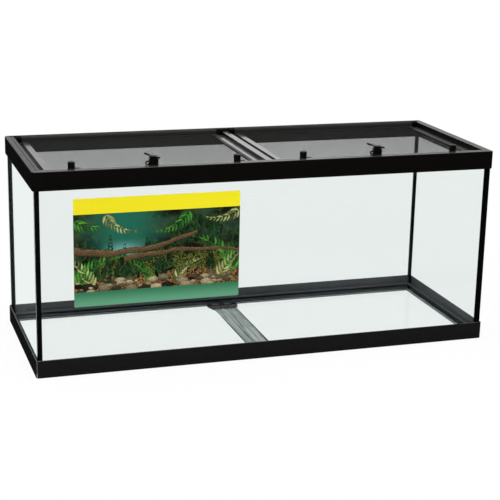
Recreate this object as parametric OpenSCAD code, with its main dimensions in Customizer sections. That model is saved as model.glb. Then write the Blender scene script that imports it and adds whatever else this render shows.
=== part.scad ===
// Reptile terrarium: a glass tank between two moulded frames, under two hinged screen lids.
// The origin is the middle of the footprint, on the floor. X runs along the length,
// Y runs from the front to the back and Z runs up. All sizes are in millimetres.

/* [Tank] */
// Length over the moulded frames
tank_length = 1232; // [1100:1:1400]
// Depth over the moulded frames
tank_depth = 470; // [420:1:560]
// Height from the floor to the rim
tank_height = 527; // [420:1:640]
// Radius of the frames' upright corners
corner_radius = 8; // [6:0.5:12]
// Wall of both frames
frame_wall = 3.5; // [2.5:0.1:4]
// Gap between a frame wall and the outside of the glass
frame_gap = 1.5; // [1:0.1:2]
// Width of the thin ribs that locate the glass
rib_width = 2; // [1.5:0.1:3]
// Spacing of the locating ribs
rib_spacing = 150; // [100:1:200]

/* [Glass] */
// Thickness of every pane
glass_thickness = 9.5; // [8:0.1:10]
// Thickness of the silicone between two panes
seam = 1.5; // [1:0.1:2]
// Leg of the silicone bead inside an upright corner
corner_bead = 4; // [3:0.1:6]
// Leg of the silicone bead round the base pane
base_bead = 5; // [3:0.1:7]
// Height of the base pane above the floor
base_pane_height = 12; // [9:0.1:16]

/* [Bottom frame] */
// Height of the bottom frame
bottom_band = 46; // [36:0.5:60]
// Width of the lip that the panes stand on
lip_width = 23; // [20:0.5:28]
// Thickness of that lip
lip_thickness = 3; // [2.5:0.1:4]
// Rounding of the bottom frame's upper edge
bottom_edge = 1.6; // [1:0.1:2.2]

/* [Bottom brace] */
// Width of the brace across the middle
brace_width = 63; // [50:1:80]
// Width of its ends
brace_end_width = 90; // [84:1:110]
// Length of its full-width ends
brace_end = 14; // [13:0.5:20]
// Length over which the brace widens
brace_flare = 35; // [20:1:50]
// Thickness of its plate
brace_plate = 2.2; // [1.6:0.1:2.8]
// Height of its long ribs above the floor
brace_rib_height = 5; // [3.5:0.1:7]
// Number of long ribs
brace_ribs = 4; // [2:1:5]

/* [Top frame] */
// Height of the top frame
top_band = 48; // [42:0.5:60]
// Width of the flat rim
rim_width = 22.5; // [21:0.1:26]
// Thickness of the flat rim
rim_thickness = 3.5; // [2.5:0.1:4]
// Rounding of the rim's outer edge
top_edge = 2.4; // [1:0.1:3]
// Chamfer of the top frame's lower edge
skirt_chamfer = 1.5; // [0.5:0.1:2]
// Width of the centre bar
bar_width = 17; // [16:0.5:30]
// Depth of the centre bar's top below the rim
bar_drop = 6; // [2:0.5:8]
// Wall of the centre bar
bar_wall = 3; // [2:0.1:4]
// Height of the rim above the top edge of the glass
glass_drop = 12; // [9:0.5:16]
// Distance of the rim's groove from the outside
groove_inset = 13; // [8:0.5:14]
// Width of the groove
groove_width = 2; // [0.8:0.1:2.4]
// Depth of the groove
groove_depth = 1; // [0.4:0.1:1.4]

/* [Lids] */
// Gap round each lid
lid_gap = 1.5; // [1:0.1:2.5]
// Depth of the ledge's top face below the rim
ledge_drop = 16.5; // [15:0.5:19]
// Width of the ledge that carries the lids
ledge_width = 7.5; // [6:0.5:9]
// Thickness of that ledge
ledge_thickness = 3; // [2:0.1:4]
// Height of the raised rail above the ledge
rail_height = 5.5; // [5:0.1:6.5]
// Thickness of the lid's flange
flange_thickness = 2.5; // [2:0.1:3]
// Width of the flange outside the side rails
flange_width = 17; // [12:0.5:20]
// Width of the side rails
side_rail = 16; // [14:0.5:24]
// Width of the flange in front of the front rail
front_flange = 3; // [2.5:0.1:4]
// Width of the front rail
front_rail = 26; // [24:0.5:32]
// Width of the lip in front of the hinge barrel
rear_lip = 6; // [5.5:0.1:9]
// Thickness of the rails' top
rail_top = 2.2; // [1.8:0.1:2.6]
// Thickness of the rails' upright walls
rail_wall = 2.5; // [2:0.1:3]

/* [Hinges] */
// Radius of the hinge barrel
barrel_radius = 6; // [5.2:0.1:6.5]
// Distance of the hinge axis from the rear edge of the opening
hinge_inset = 8; // [7.6:0.1:10]
// Depth of the hinge axis below the rim
hinge_drop = 3.5; // [3:0.1:5]
// Length of each hinge lug
lug_length = 18; // [12:0.5:24]
// Gap between a lug and the barrel's end
lug_gap = 0.8; // [0.4:0.1:1.5]
// Radius of the stub pins
pin_radius = 3; // [2.5:0.1:3.4]
// Length of the stub pins
pin_length = 12; // [8:0.5:15]
// Radial clearance of each turning fit
turn_gap = 0.1; // [0.06:0.01:0.15]

/* [Screen] */
// Thickness of the screen
screen_thickness = 0.8; // [0.6:0.1:1]
// Width of screen held under the rails
clamp_width = 5.5; // [4:0.1:5.5]
// Thickness of the strip that holds the screen up
strip_thickness = 2; // [1.6:0.1:2.2]
// Gaps of the screen's net along the length
net_columns = 20; // [10:1:22]
// Gaps of the screen's net along the depth
net_rows = 14; // [8:1:14]
// Width of the net's strands
strand = 1.2; // [0.8:0.1:2]

/* [Knobs] */
// Distance of each knob from the lid's middle
knob_offset = 212; // [150:1:230]
// Distance of the turning axes behind the front edge of the opening
axis_inset = 17; // [16.5:0.1:18]
// Radius of the knob
knob_radius = 9; // [7:0.1:9.4]
// Height of the knob above the rail
knob_height = 26; // [18:0.5:30]
// Radius of the knob's foot
knob_foot = 10.5; // [9.5:0.1:11.5]
// Radius of the knob's shaft
knob_shaft = 3.6; // [3:0.1:4]
// Reach of the knob's pointer from its axis
pointer_reach = 21; // [15:0.5:24]
// Height of the pointer's underside above the rail
pointer_height = 6.5; // [5:0.5:9]
// Thickness of the pointer
pointer_thickness = 3; // [2:0.1:4]

/* [Latches] */
// Offset of the latch from the lid's middle
latch_offset = -6; // [-30:0.5:30]
// Width of the latch housing
latch_width = 22.5; // [19:0.5:26]
// Depth of the latch housing from front to back
latch_depth = 18; // [15:0.5:19]
// Height of the latch housing above the rail
latch_height = 27; // [22:0.5:32]
// Radius of the lever's cap
cap_radius = 11; // [10:0.1:14]
// Height of the lever's cap
cap_height = 6; // [5:0.1:10]
// Radius of the lever's shaft
latch_shaft = 4.5; // [3.8:0.1:4.8]
// Direction of the long arm with the latch open, from the lid's length
lever_turn = 115; // [90:1:130]
// Reach of the long arm from the axis
arm_reach = 37; // [30:0.5:50]
// Width of the arms
arm_width = 5.5; // [4:0.1:7]
// Thickness of the arms
arm_thickness = 4; // [3:0.1:5]
// Upward slope of the long arm
arm_slope = 4; // [0:1:12]
// Reach of the short arm from the axis
wing_reach = 25; // [16:0.5:30]
// Distance of the padlock eye from the axis
eye_offset = 17; // [15.5:0.1:19]
// Height of the padlock eye's centre above the rail
eye_height = 14.5; // [14:0.1:17]
// Outer radius of the padlock eye
eye_radius = 6; // [5:0.1:6.5]
// Radius of the padlock eye's hole
eye_hole = 2.75; // [2:0.05:3.2]
// Thickness of the padlock eye
eye_thickness = 4; // [3:0.1:6]

/* [Tongues] */
// Reach of each locking tongue from its axis
tongue_reach = 15.5; // [14.5:0.1:15.6]
// Width of the tongues
tongue_width = 8; // [6:0.1:9]
// Thickness of the tongues
tongue_thickness = 3; // [2.6:0.1:4]
// Gap between a tongue and the ledge above it
tongue_gap = 1.5; // [1:0.1:2.5]
// Radius of the tongue screws' shank
screw_radius = 1.4; // [1.2:0.05:1.5]
// Radius of the screws' head
screw_head = 3; // [2.6:0.1:3.2]
// Height of the screws' head
screw_head_height = 1.8; // [1.4:0.1:2]

/* [Label] */
// Length of the printed sheet on the front pane
label_length = 427; // [300:1:500]
// Height of that sheet
label_height = 277; // [180:1:340]
// Distance of its left edge from the middle of the tank
label_left = 517; // [460:1:560]
// Height of its lower edge above the floor
label_bottom = 178; // [80:1:200]
// Thickness of the sheet
label_thickness = 0.3; // [0.2:0.05:0.6]

/* [Hidden] */
$fn = 48;
eps = 0.01;

// Outside and inside faces of the panes
glass_x = tank_length / 2 - frame_wall - frame_gap;
glass_y = tank_depth / 2 - frame_wall - frame_gap;
inner_x = glass_x - glass_thickness;
inner_y = glass_y - glass_thickness;
glass_foot = lip_thickness;
glass_top = tank_height - glass_drop;
base_top = base_pane_height + glass_thickness;

// Top frame
skirt_z = tank_height - top_band;
rim_under = tank_height - rim_thickness;
open_x = tank_length / 2 - rim_width;
open_y = tank_depth / 2 - rim_width;
bar_x = bar_width / 2;
bar_z = tank_height - bar_drop;

// Lids
lid_mid = (bar_x + open_x) / 2;
lid_half = (open_x - bar_x) / 2 - lid_gap;
lid_front = -open_y + lid_gap;
ledge_z = tank_height - ledge_drop;
ledge_under = ledge_z - ledge_thickness;
inner_wall_z = ledge_under;
rail_z = ledge_z + rail_height;
rail_ceiling = rail_z - rail_top;
rail_half = lid_half - flange_width;
mesh_half = rail_half - side_rail;
rail_front = lid_front + front_flange;
mesh_front = rail_front + front_rail;

// Hinges
hinge_y = open_y - hinge_inset;
hinge_z = tank_height - hinge_drop;
barrel_front = hinge_y - barrel_radius;
barrel_back = hinge_y + barrel_radius;
rear_joint = barrel_front + rail_wall / 2;
mesh_back = barrel_front - rear_lip;
lug_middle = lid_half + lid_gap - lug_length / 2;
barrel_half = lug_middle - lug_length / 2 - lug_gap;
ledge_back = mesh_back - rear_lip;
snap_slot = 1.7 * pin_radius;
ledge_break = 4;

// Turning fittings
axis_y = -open_y + axis_inset;
tongue_top = ledge_under - tongue_gap;
tongue_foot = tongue_top - tongue_thickness;
boss_foot = tongue_top + turn_gap;
boss_wall = 2;
foot_gap = 0.2;
pilot_depth = 9;
tenon_height = 1.4;
arm_rise = 0.4;
tenon_play = 0.1;
housing_screw_offset = 13.5;
housing_screw_radius = 1.2;
housing_screw_length = 7;
housing_foot = 3;

frame_colour = [0.05, 0.05, 0.055];
glass_colour = [0.8, 0.92, 0.9, 0.35];
seal_colour = [0.02, 0.02, 0.02];
screen_colour = [0.25, 0.25, 0.26];
brace_colour = [0.35, 0.37, 0.37];
screw_colour = [0.75, 0.75, 0.78];
label_colour = [0.1, 0.4, 0.2];

// A block between two corners
module block(low, high) {
    translate(low)
        cube(high - low);
}

// A flat rectangular ring with its outside at half_x and half_y
module flat_ring(half_x, half_y, width, low, high) {
    translate([0, 0, low])
        linear_extrude(high - low)
            difference() {
                square([2 * half_x, 2 * half_y], center = true);
                square([2 * (half_x - width), 2 * (half_y - width)], center = true);
            }
}

// Sweeps an outline round the tank. The outline's x runs outwards from the corners' centres.
module swept_band() {
    for (turn = [0 : 3]) {
        out = (turn % 2 == 0 ? tank_length : tank_depth) / 2 - corner_radius;
        along = (turn % 2 == 0 ? tank_depth : tank_length) / 2 - corner_radius;
        rotate([0, 0, 90 * turn])
            translate([out, along, 0]) {
                rotate_extrude(angle = 90)
                    children();
                rotate([90, 0, 0])
                    linear_extrude(2 * along)
                        children();
            }
    }
}

// Copies a child that points outwards at +X to regular places along all four sides
module along_sides() {
    for (turn = [0 : 3]) {
        out = (turn % 2 == 0 ? tank_length : tank_depth) / 2;
        along = (turn % 2 == 0 ? tank_depth : tank_length) - 2 * rib_spacing / 3;
        gaps = max(1, round(along / rib_spacing));
        for (place = [0 : gaps])
            rotate([0, 0, 90 * turn])
                translate([out, along * (place / gaps - 0.5), 0])
                    children();
    }
}

// ---- Bottom frame ----

module bottom_outline() {
    polygon([
        [corner_radius - frame_wall, 0],
        [corner_radius - 1, 0],
        [corner_radius, 1],
        [corner_radius, bottom_band - bottom_edge],
        [corner_radius - frame_wall, bottom_band - bottom_edge]
    ]);
    translate([corner_radius - bottom_edge, bottom_band - bottom_edge])
        circle(bottom_edge);
    translate([corner_radius - frame_wall, bottom_band - 2 * bottom_edge])
        square([frame_wall - bottom_edge, 2 * bottom_edge]);
    square([corner_radius - 1, lip_thickness]);
}

// A low rib between the bottom frame's wall and the glass
module bottom_rib() {
    block([-frame_wall - frame_gap, -rib_width / 2, lip_thickness - eps],
          [-frame_wall + eps, rib_width / 2, bottom_band * 0.7]);
}

module bottom_frame() {
    color(frame_colour)
        union() {
            swept_band()
                bottom_outline();
            flat_ring(tank_length / 2 - 0.75 * corner_radius, tank_depth / 2 - 0.75 * corner_radius,
                      lip_width - 0.75 * corner_radius, 0, lip_thickness);
            along_sides()
                bottom_rib();
        }
}

// ---- Bottom brace ----

module brace_outline(half_length) {
    half = brace_width / 2;
    half_end = brace_end_width / 2;
    neck = half_length - brace_end;
    polygon([
        [-half_end, -half_length], [half_end, -half_length], [half_end, -neck],
        [half, -neck + brace_flare], [half, neck - brace_flare],
        [half_end, neck], [half_end, half_length], [-half_end, half_length],
        [-half_end, neck], [-half, neck - brace_flare],
        [-half, -neck + brace_flare], [-half_end, -neck]
    ]);
}

module bottom_brace() {
    fit = 0.3;
    half_length = tank_depth / 2 - lip_width - fit;
    rib_step = (brace_width - 2) / (brace_ribs - 1);
    tab_width = 14;
    tab_step = (brace_end_width - tab_width) / 2 - 2;
    tab_reach = lip_width - frame_wall - frame_gap - glass_thickness - fit;
    slot = [brace_end_width / 2 - 13, 5];
    color(brace_colour)
        difference() {
            union() {
                linear_extrude(brace_plate)
                    brace_outline(half_length);
                for (rib = [0 : brace_ribs - 1])
                    translate([-brace_width / 2 + rib * rib_step, 0, 0])
                        block([0, -half_length + brace_end, eps],
                              [2, half_length - brace_end, brace_rib_height]);
                for (end = [-1, 1], tab = [-1 : 1])
                    translate([tab * tab_step, end * half_length, 0])
                        mirror([0, end < 0 ? 1 : 0, 0]) {
                            block([-tab_width / 2, -3, eps], [tab_width / 2, 0, lip_thickness + 1.6]);
                            block([-tab_width / 2, -3, lip_thickness],
                                  [tab_width / 2, tab_reach, lip_thickness + 1.6]);
                        }
            }
            for (end = [-1, 1], side = [-1, 1])
                translate([side * (slot[0] / 2 + 4), end * (half_length - 8), 0])
                    cube([slot[0], slot[1], 4 * brace_plate], center = true);
        }
}

// ---- Glass and seals ----

module end_glass(side) {
    color(glass_colour)
        translate([side * (inner_x + glass_x) / 2, 0, (glass_foot + glass_top) / 2])
            cube([glass_thickness, 2 * (inner_y - seam), glass_top - glass_foot], center = true);
}

module long_glass(side) {
    color(glass_colour)
        translate([0, side * (inner_y + glass_y) / 2, (glass_foot + glass_top) / 2])
            cube([2 * glass_x, glass_thickness, glass_top - glass_foot], center = true);
}

module base_glass() {
    color(glass_colour)
        translate([0, 0, base_pane_height + glass_thickness / 2])
            cube([2 * (inner_x - seam), 2 * (inner_y - seam), glass_thickness], center = true);
}

// The silicone of one upright corner: the joint between two panes and the bead inside it
module corner_seal(side, depth) {
    bead_foot = base_top + base_bead;
    color(seal_colour)
        mirror([side < 0 ? 1 : 0, 0, 0])
            mirror([0, depth < 0 ? 1 : 0, 0]) {
                block([inner_x, inner_y - seam, glass_foot], [glass_x, inner_y, glass_top]);
                translate([inner_x, inner_y, bead_foot])
                    linear_extrude(glass_top - bead_foot)
                        polygon([[0, 0], [-corner_bead, 0], [0, -corner_bead]]);
            }
}

// The silicone round the base pane: the joint at its edges and the bead above it
module base_seal() {
    color(seal_colour)
        union() {
            flat_ring(inner_x, inner_y, seam, base_pane_height, base_top);
            for (turn = [0 : 3]) {
                out = turn % 2 == 0 ? inner_x : inner_y;
                along = turn % 2 == 0 ? inner_y : inner_x;
                rotate([0, 0, 90 * turn])
                    translate([out, along, base_top])
                        rotate([90, 0, 0])
                            linear_extrude(2 * along)
                                polygon([[0, 0], [0, base_bead], [-base_bead, 0]]);
            }
        }
}

module front_label() {
    round = 4;
    color(label_colour)
        translate([-label_left, -glass_y, label_bottom])
            rotate([90, 0, 0])
                linear_extrude(label_thickness)
                    union() {
                        for (x = [round, label_length - round], y = [round, label_height - round])
                            translate([x, y])
                                circle(round);
                        translate([round, 0])
                            square([label_length - 2 * round, label_height]);
                        translate([0, round])
                            square([label_length, label_height - 2 * round]);
                    }
}

// ---- Top frame ----

module top_outline() {
    polygon([
        [corner_radius - frame_wall, skirt_z],
        [corner_radius - skirt_chamfer, skirt_z],
        [corner_radius, skirt_z + skirt_chamfer],
        [corner_radius, tank_height - top_edge],
        [corner_radius - frame_wall, tank_height - top_edge]
    ]);
    translate([corner_radius - top_edge, tank_height - top_edge])
        circle(top_edge);
    translate([0, rim_under])
        square([corner_radius - top_edge, rim_thickness]);
}

// A rib across the top frame's channel, forked over the edge of the glass
module channel_rib() {
    face = -frame_wall - frame_gap;
    difference() {
        block([-rim_width + frame_wall - eps, -rib_width / 2, inner_wall_z],
              [-frame_wall + eps, rib_width / 2, rim_under + eps]);
        block([face - glass_thickness, -rib_width, skirt_z - 1],
              [face, rib_width, glass_top]);
    }
}

// The channel that caps the glass on all four sides, with the shallow groove in its rim
module top_channel() {
    difference() {
        union() {
            swept_band()
                top_outline();
            flat_ring(tank_length / 2 - 0.75 * corner_radius, tank_depth / 2 - 0.75 * corner_radius,
                      rim_width - 0.75 * corner_radius, rim_under, tank_height);
            flat_ring(open_x + frame_wall, open_y + frame_wall, frame_wall, inner_wall_z, tank_height);
            along_sides()
                channel_rib();
        }
        flat_ring(tank_length / 2 - groove_inset, tank_depth / 2 - groove_inset, groove_width,
                  tank_height - groove_depth, tank_height + 1);
    }
}

// One side of the channel, mitred at both ends. Turn 0 is the right end, 1 the back, and so on.
module top_rail(turn) {
    out = (turn % 2 == 0 ? tank_length : tank_depth) / 2;
    along = (turn % 2 == 0 ? tank_depth : tank_length) / 2;
    depth = rim_width + 1;
    color(frame_colour)
        intersection() {
            top_channel();
            rotate([0, 0, 90 * turn])
                translate([0, 0, skirt_z - 1])
                    linear_extrude(top_band + 2)
                        polygon([
                            [out + 1, along + 1], [out - depth, along - depth],
                            [out - depth, depth - along], [out + 1, -along - 1]
                        ]);
        }
}

// The bar across the middle, hollow underneath
module top_centre_bar() {
    color(frame_colour)
        difference() {
            block([-bar_x, -open_y, inner_wall_z], [bar_x, open_y, bar_z]);
            block([bar_wall - bar_x, -open_y - 1, inner_wall_z - 1],
                  [bar_x - bar_wall, open_y + 1, bar_z - bar_wall]);
        }
}

// The ledges that carry a lid, along the front and both sides of its opening
module lid_ledges(side) {
    start = -open_y + ledge_width + ledge_break;
    color(frame_colour)
        mirror([side < 0 ? 1 : 0, 0, 0]) {
            block([bar_x, -open_y, ledge_under], [open_x, -open_y + ledge_width, ledge_z]);
            block([bar_x, start, ledge_under], [bar_x + ledge_width, ledge_back, ledge_z]);
            block([open_x - ledge_width, start, ledge_under], [open_x, ledge_back, ledge_z]);
        }
}

// The two sockets of one lid's hinge, each round and open upwards to snap over a stub pin
module hinge_sockets(side) {
    color(frame_colour)
        for (end = [-1, 1])
            translate([side * lid_mid + end * lug_middle, hinge_y, hinge_z])
                difference() {
                    union() {
                        rotate([0, 90, 0])
                            cylinder(r = barrel_radius, h = lug_length, center = true);
                        block([-lug_length / 2, 0, -barrel_radius],
                              [lug_length / 2, hinge_inset, hinge_drop]);
                    }
                    rotate([0, 90, 0])
                        cylinder(r = pin_radius + turn_gap, h = lug_length + 1, center = true);
                    block([-lug_length / 2 - 1, -snap_slot / 2, 0],
                          [lug_length / 2 + 1, snap_slot / 2, 2 * barrel_radius]);
                }
}

// ---- Lids ----

// The rear member's outline, x towards the back and y up: a round barrel over a hollow channel
module rear_outline() {
    translate([hinge_y, hinge_z])
        circle(barrel_radius);
    translate([barrel_front, ledge_z])
        square([rail_wall, hinge_z - ledge_z]);
    translate([barrel_back - rail_wall, ledge_z])
        square([rail_wall, hinge_z - ledge_z]);
}

// A hollow boss under the front rail round a turning shaft
module boss(x, shaft) {
    translate([x, axis_y, boss_foot])
        cylinder(r = shaft + turn_gap + boss_wall, h = rail_z - boss_foot - eps);
}

module lid_frame(side) {
    color(frame_colour)
        translate([side * lid_mid, 0, 0])
            difference() {
                union() {
                    block([-lid_half, lid_front, ledge_z],
                          [lid_half, rear_joint, ledge_z + flange_thickness]);
                    block([-rail_half, rail_front, ledge_z], [rail_half, rear_joint, rail_z]);
                    translate([-barrel_half, 0, 0])
                        rotate([90, 0, 90])
                            linear_extrude(2 * barrel_half)
                                rear_outline();
                    translate([0, hinge_y, hinge_z])
                        rotate([0, 90, 0])
                            cylinder(r = pin_radius, h = 2 * (barrel_half + pin_length), center = true);
                    for (x = [-knob_offset, knob_offset])
                        boss(x, knob_shaft);
                    boss(latch_offset, latch_shaft);
                }
                // The opening under the screen
                block([-mesh_half, mesh_front, ledge_z - 1], [mesh_half, mesh_back, rail_z + 1]);
                // The hollow under the rails, round the bosses
                difference() {
                    block([-rail_half + rail_wall, rail_front + rail_wall, ledge_z - 1],
                          [rail_half - rail_wall, barrel_front, rail_ceiling]);
                    for (x = [-knob_offset, knob_offset])
                        boss(x, knob_shaft);
                    boss(latch_offset, latch_shaft);
                }
                // The bores of the shafts and of the housing's screws
                for (x = [-knob_offset, knob_offset])
                    translate([x, axis_y, boss_foot - 1])
                        cylinder(r = knob_shaft + turn_gap, h = rail_z - boss_foot + 2);
                translate([latch_offset, axis_y, boss_foot - 1])
                    cylinder(r = latch_shaft + turn_gap, h = rail_z - boss_foot + 2);
                for (x = [-housing_screw_offset, housing_screw_offset])
                    translate([latch_offset + x, axis_y, rail_ceiling - 1])
                        cylinder(r = housing_screw_radius + 0.1, h = rail_top + 2);
            }
}

// A net of crossing strands inside a plain border, held under the rails
module screen(side) {
    half = mesh_half + clamp_width;
    low = mesh_front - clamp_width;
    high = mesh_back + clamp_width;
    pitch_x = (2 * mesh_half + strand) / net_columns;
    pitch_y = (mesh_back - mesh_front + strand) / net_rows;
    color(screen_colour)
        translate([side * lid_mid, 0, rail_ceiling - screen_thickness])
            linear_extrude(screen_thickness)
                difference() {
                    translate([-half, low])
                        square([2 * half, high - low]);
                    for (column = [0 : net_columns - 1], row = [0 : net_rows - 1])
                        translate([-mesh_half + column * pitch_x, mesh_front + row * pitch_y])
                            square([pitch_x - strand, pitch_y - strand]);
                }
}

module screen_strip(side) {
    top = rail_ceiling - screen_thickness;
    middle = (mesh_front + mesh_back) / 2;
    color(frame_colour)
        translate([side * lid_mid, middle, 0])
            flat_ring(mesh_half + clamp_width, (mesh_back - mesh_front) / 2 + clamp_width, clamp_width,
                      top - strip_thickness, top);
}

// ---- Knobs ----

// Half of the knob's section, from its shaft up to a domed top
module knob_outline(radius, height, foot, foot_height) {
    dome = 1.6;
    square([radius, height - dome]);
    square([foot, foot_height]);
    intersection() {
        translate([0, height - radius * radius / (2 * dome) - dome / 2])
            circle(radius * radius / (2 * dome) + dome / 2, $fn = 96);
        square([radius, height]);
    }
}

// The round shaft that turns in its boss, with a square tenon for the tongue and a screw's pilot hole
module turning_shaft(radius, top) {
    tenon = 1.25 * radius;
    difference() {
        union() {
            translate([0, 0, tongue_top])
                cylinder(r = radius, h = top - tongue_top);
            translate([-tenon / 2, -tenon / 2, tongue_top - tenon_height])
                cube([tenon, tenon, tenon_height + eps]);
        }
        translate([0, 0, tongue_top - tenon_height - eps])
            cylinder(r = screw_radius + 0.05, h = tenon_height + pilot_depth);
    }
}

module knob() {
    notch = [2 * knob_radius + 2, 1.6, 1.2];
    color(frame_colour)
        translate([0, axis_y, 0])
            difference() {
                union() {
                    turning_shaft(knob_shaft, rail_z + foot_gap + eps);
                    translate([0, 0, rail_z + foot_gap])
                        rotate_extrude()
                            knob_outline(knob_radius, knob_height, knob_foot, 2);
                    translate([0, 0, rail_z + pointer_height])
                        linear_extrude(pointer_thickness) {
                            translate([0, -pointer_thickness])
                                square([pointer_reach - pointer_thickness, 2 * pointer_thickness]);
                            translate([pointer_reach - pointer_thickness, 0])
                                circle(pointer_thickness);
                        }
                }
                translate([0, 0, rail_z + foot_gap + knob_height])
                    cube(notch, center = true);
            }
}

// A locking tongue on the end of a shaft. It points along -X and swings forward under the ledge.
module tongue(shaft) {
    hub = shaft + boss_wall;
    tenon = 1.25 * shaft + 2 * tenon_play;
    tip = tongue_width / 2;
    color(frame_colour)
        translate([0, axis_y, tongue_foot])
            difference() {
                linear_extrude(tongue_thickness) {
                    circle(hub);
                    translate([-tongue_reach + tip, -tip])
                        square([tongue_reach - tip, tongue_width]);
                    translate([-tongue_reach + tip, 0])
                        circle(tip);
                }
                translate([-tenon / 2, -tenon / 2, tongue_thickness - tenon_height - tenon_play])
                    cube([tenon, tenon, tongue_thickness]);
                translate([0, 0, -1])
                    cylinder(r = screw_radius + 0.1, h = tongue_thickness + 2);
            }
}

// A pan-head screw that points upwards, with its head's seat at the given height
module screw(seat, radius, head, head_height, length) {
    color(screw_colour)
        translate([0, axis_y, seat])
            union() {
                translate([0, 0, -head_height])
                    rotate_extrude()
                        intersection() {
                            translate([0, head])
                                circle(head * 1.25, $fn = 64);
                            square([head, head_height]);
                        }
                translate([0, 0, -eps])
                    cylinder(r = radius, h = length);
            }
}

module tongue_screw() {
    screw(tongue_foot, screw_radius, screw_head, screw_head_height, tongue_thickness + pilot_depth - 3);
}

// ---- Latches ----

module latch_housing() {
    corner = 4;
    half = [latch_width / 2, latch_depth / 2];
    foot_half = housing_screw_offset + 3.5;
    eye_y = -half[1] + eye_thickness / 2;
    color(frame_colour)
        translate([0, axis_y, rail_z])
            difference() {
                union() {
                    // The tower, with rounded upright edges and a collar under the cap
                    linear_extrude(latch_height - 2) {
                        for (x = [-1, 1], y = [-1, 1])
                            translate([x * (half[0] - corner), y * (half[1] - corner)])
                                circle(corner);
                        square([latch_width - 2 * corner, latch_depth], center = true);
                        square([latch_width, latch_depth - 2 * corner], center = true);
                    }
                    cylinder(r = min(half[0], half[1]) - 0.5, h = latch_height);
                    // The foot on the rail
                    block([-foot_half, -half[1] + 1, 0], [foot_half, half[1] - 1, housing_foot]);
                    // The padlock eye and the web that carries it, flush with the tower's front
                    translate([-eye_offset, eye_y, eye_height])
                        rotate([90, 0, 0])
                            cylinder(r = eye_radius, h = eye_thickness, center = true);
                    block([-eye_offset, -half[1], 0],
                          [-half[0] + corner, -half[1] + eye_thickness, eye_height + eye_radius * 0.5]);
                }
                translate([0, 0, -1])
                    cylinder(r = latch_shaft + turn_gap, h = latch_height + 2);
                translate([-eye_offset, eye_y, eye_height])
                    rotate([90, 0, 0])
                        cylinder(r = eye_hole, h = eye_thickness + 2, center = true);
                for (x = [-housing_screw_offset, housing_screw_offset])
                    translate([x, 0, -1])
                        cylinder(r = housing_screw_radius + 0.05,
                                 h = housing_screw_length - rail_top + 1.6);
            }
}

// An arm of the lever along +X with a round end, rising from inside the cap
module lever_arm(reach, slope) {
    start = cap_radius - 3;
    length = (reach - start) / cos(slope) - arm_width / 2;
    translate([start, 0, arm_rise])
        rotate([0, -slope, 0]) {
            block([0, -arm_width / 2, 0], [length, arm_width / 2, arm_thickness]);
            translate([length, 0, 0])
                cylinder(r = arm_width / 2, h = arm_thickness);
        }
}

// The shaft, its cap and a straight two-armed lever across the cap
module latch_lever() {
    cap_z = rail_z + latch_height + foot_gap;
    color(frame_colour)
        translate([0, axis_y, 0])
            union() {
                turning_shaft(latch_shaft, cap_z + eps);
                translate([0, 0, cap_z])
                    rotate_extrude()
                        knob_outline(cap_radius, cap_height, cap_radius, 1);
                translate([0, 0, cap_z])
                    rotate([0, 0, lever_turn]) {
                        lever_arm(arm_reach, arm_slope);
                        rotate([0, 0, 180])
                            lever_arm(wing_reach, 0);
                    }
            }
}

module housing_screws() {
    for (x = [-housing_screw_offset, housing_screw_offset])
        translate([x, 0, 0])
            screw(rail_ceiling, housing_screw_radius, 2.4, 1.5, housing_screw_length);
}

// Places a child on a lid: side is -1 or 1, and x is measured from the lid's middle
module on_lid(side, x) {
    translate([side * lid_mid + x, 0, 0])
        children();
}

bottom_frame();
bottom_brace();
top_rail(3);  // top_front_rail
top_rail(1);  // top_back_rail
top_rail(2);  // top_left_rail
top_rail(0);  // top_right_rail
top_centre_bar();
lid_ledges(-1);  // left_lid_ledges
lid_ledges(1);  // right_lid_ledges
hinge_sockets(-1);  // left_hinge_sockets
hinge_sockets(1);  // right_hinge_sockets
base_glass();
long_glass(-1);  // front_glass
long_glass(1);  // back_glass
end_glass(-1);  // left_glass
end_glass(1);  // right_glass
corner_seal(-1, -1);  // front_left_seal
corner_seal(1, -1);  // front_right_seal
corner_seal(-1, 1);  // back_left_seal
corner_seal(1, 1);  // back_right_seal
base_seal();
front_label();
lid_frame(-1);  // left_lid_frame
screen(-1);  // left_screen
screen_strip(-1);  // left_screen_strip
lid_frame(1);  // right_lid_frame
screen(1);  // right_screen
screen_strip(1);  // right_screen_strip
on_lid(-1, -knob_offset) knob();  // left_lid_outer_knob
on_lid(-1, -knob_offset) tongue(knob_shaft);  // left_lid_outer_tongue
on_lid(-1, -knob_offset) tongue_screw();  // left_lid_outer_screw
on_lid(-1, knob_offset) knob();  // left_lid_inner_knob
on_lid(-1, knob_offset) tongue(knob_shaft);  // left_lid_inner_tongue
on_lid(-1, knob_offset) tongue_screw();  // left_lid_inner_screw
on_lid(1, -knob_offset) knob();  // right_lid_inner_knob
on_lid(1, -knob_offset) tongue(knob_shaft);  // right_lid_inner_tongue
on_lid(1, -knob_offset) tongue_screw();  // right_lid_inner_screw
on_lid(1, knob_offset) knob();  // right_lid_outer_knob
on_lid(1, knob_offset) tongue(knob_shaft);  // right_lid_outer_tongue
on_lid(1, knob_offset) tongue_screw();  // right_lid_outer_screw
on_lid(-1, latch_offset) latch_housing();  // left_latch_housing
on_lid(-1, latch_offset) latch_lever();  // left_latch_lever
on_lid(-1, latch_offset) tongue(latch_shaft);  // left_latch_tongue
on_lid(-1, latch_offset) tongue_screw();  // left_latch_screw
on_lid(-1, latch_offset) housing_screws();  // left_housing_screws
on_lid(1, latch_offset) latch_housing();  // right_latch_housing
on_lid(1, latch_offset) latch_lever();  // right_latch_lever
on_lid(1, latch_offset) tongue(latch_shaft);  // right_latch_tongue
on_lid(1, latch_offset) tongue_screw();  // right_latch_screw
on_lid(1, latch_offset) housing_screws();  // right_housing_screws
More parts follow.
